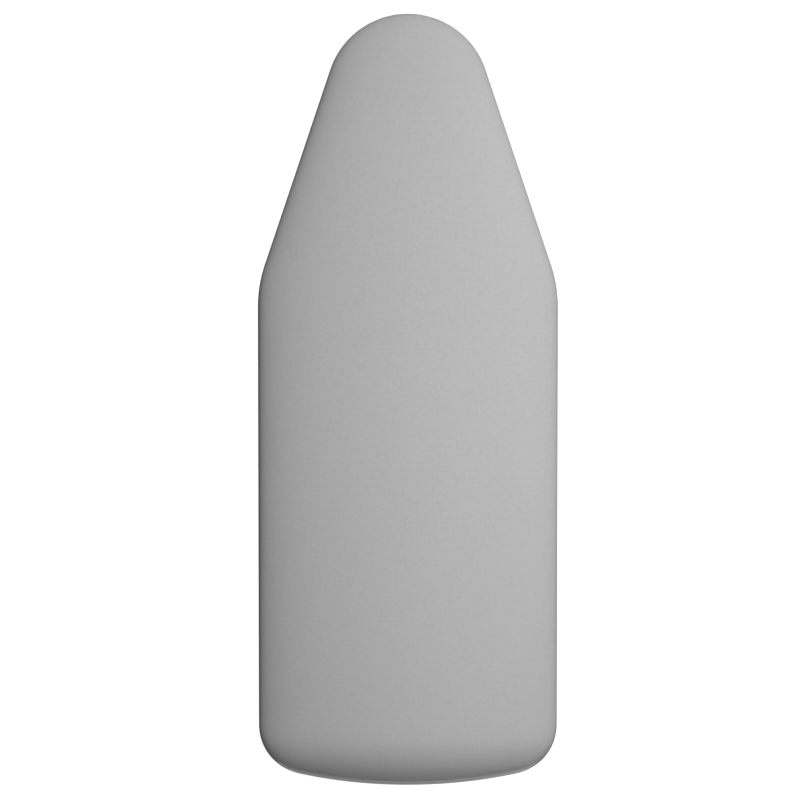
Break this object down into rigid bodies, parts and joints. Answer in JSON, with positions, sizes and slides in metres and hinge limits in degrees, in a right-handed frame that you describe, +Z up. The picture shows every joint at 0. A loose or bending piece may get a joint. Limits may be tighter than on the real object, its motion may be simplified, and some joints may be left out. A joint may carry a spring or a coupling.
{
  "type": "ironing board",
  "caption": "Full-size folding ironing board: padded, covered top with a round nose on two crossed tube leg frames, with sliding front pivot and height lock lever.",
  "frame": {"origin": "on the floor under the middle of the board's outline, with the legs open", "axes": "+Z up, +Y towards the nose, +X to the right when the nose points away"},
  "size_m": [0.465, 1.2, 0.9],
  "materials": {
    "cover_fabric": "plain grey woven cover, matt",
    "hem_elastic": "braided elastic cord",
    "pad_felt": "needled felt and foam underlay",
    "sheet_steel": "perforated sheet steel, grey enamel",
    "frame_enamel": "light grey enamel, satin",
    "leg_enamel": "silver grey enamel, satin",
    "zinc_steel": "zinc plated",
    "spring_steel": "drawn wire",
    "foot_rubber": "moulded, matt",
    "moulded_plastic": "moulded, fine texture"
  },
  "bodies": {
    "board_top": {"catch_bracket": "frame_enamel", "catch_pin": "zinc_steel", "cover": "cover_fabric", "cross_rail_centre": "frame_enamel", "cross_rail_front": "frame_enamel", "cross_rail_middle": "frame_enamel", "cross_rail_rear": "frame_enamel", "guide_rod_left": "zinc_steel", "guide_rod_right": "zinc_steel", "hem_elastic": "hem_elastic", "pivot_bolt_left": "zinc_steel", "pivot_bolt_right": "zinc_steel", "pivot_bracket_left": "frame_enamel", "pivot_bracket_right": "frame_enamel", "rim_front": "frame_enamel", "rim_rear": "frame_enamel", "rod_hanger_front_left": "frame_enamel", "rod_hanger_front_right": "frame_enamel", "rod_hanger_rear_left": "frame_enamel", "rod_hanger_rear_right": "frame_enamel", "top_sheet": "sheet_steel", "underlay_pad": "pad_felt"},
    "release_lever": {"clamp_plate_left": "zinc_steel", "clamp_plate_right": "zinc_steel", "lever_bail": "zinc_steel", "lever_grip": "moulded_plastic"},
    "inner_leg": {"cross_axle": "zinc_steel", "inner_leg_brace": "leg_enamel", "inner_leg_foot_bar": "leg_enamel", "inner_leg_foot_left": "foot_rubber", "inner_leg_foot_right": "foot_rubber", "inner_leg_plug_left": "moulded_plastic", "inner_leg_plug_right": "moulded_plastic", "inner_leg_tube_left": "leg_enamel", "inner_leg_tube_right": "leg_enamel"},
    "outer_leg": {"crossing_bolt_left": "zinc_steel", "crossing_bolt_right": "zinc_steel", "crossing_spacer_left": "moulded_plastic", "crossing_spacer_right": "moulded_plastic", "outer_leg_foot_bar": "leg_enamel", "outer_leg_foot_left": "foot_rubber", "outer_leg_foot_right": "foot_rubber", "outer_leg_plug_left": "moulded_plastic", "outer_leg_plug_right": "moulded_plastic", "outer_leg_tube_left": "leg_enamel", "outer_leg_tube_right": "leg_enamel"},
    "runner": {"lever_pin": "zinc_steel", "lever_spring": "spring_steel", "slider_left": "moulded_plastic", "slider_right": "moulded_plastic"},
    "transport_catch": {"transport_catch": "moulded_plastic"}
  },
  "joints": [
    {"name": "leg_fold", "type": "hinge", "parent": "board_top", "child": "outer_leg", "pos_m": [0, -0.468, 0.838], "axis": [1, 0, 0], "range_deg": [0, 53.5]},
    {"name": "leg_crossing", "type": "hinge", "parent": "outer_leg", "child": "inner_leg", "pos_m": [0, -0.18195, 0.45039], "axis": [1, 0, 0], "range_deg": [-107, 0]},
    {"name": "front_pivot", "type": "hinge", "parent": "inner_leg", "child": "runner", "pos_m": [0, 0.10409, 0.838], "axis": [1, 0, 0], "range_deg": [0, 53.5]},
    {"name": "lever_squeeze", "type": "hinge", "parent": "runner", "child": "release_lever", "pos_m": [0, 0.0681, 0.84], "axis": [-1, 0, 0], "range_deg": [0, 8], "stiffness_Nm_per_rad": 1.5, "springref_deg": -17.19},
    {"name": "catch_swing", "type": "hinge", "parent": "board_top", "child": "transport_catch", "pos_m": [0, -0.21727, 0.86], "axis": [-1, 0, 0], "range_deg": [0, 90]}
  ],
  "couplings": [
    {"joint": "leg_crossing", "follows": "leg_fold", "ratio": -2},
    {"joint": "front_pivot", "follows": "leg_fold", "ratio": 1}
  ]
}
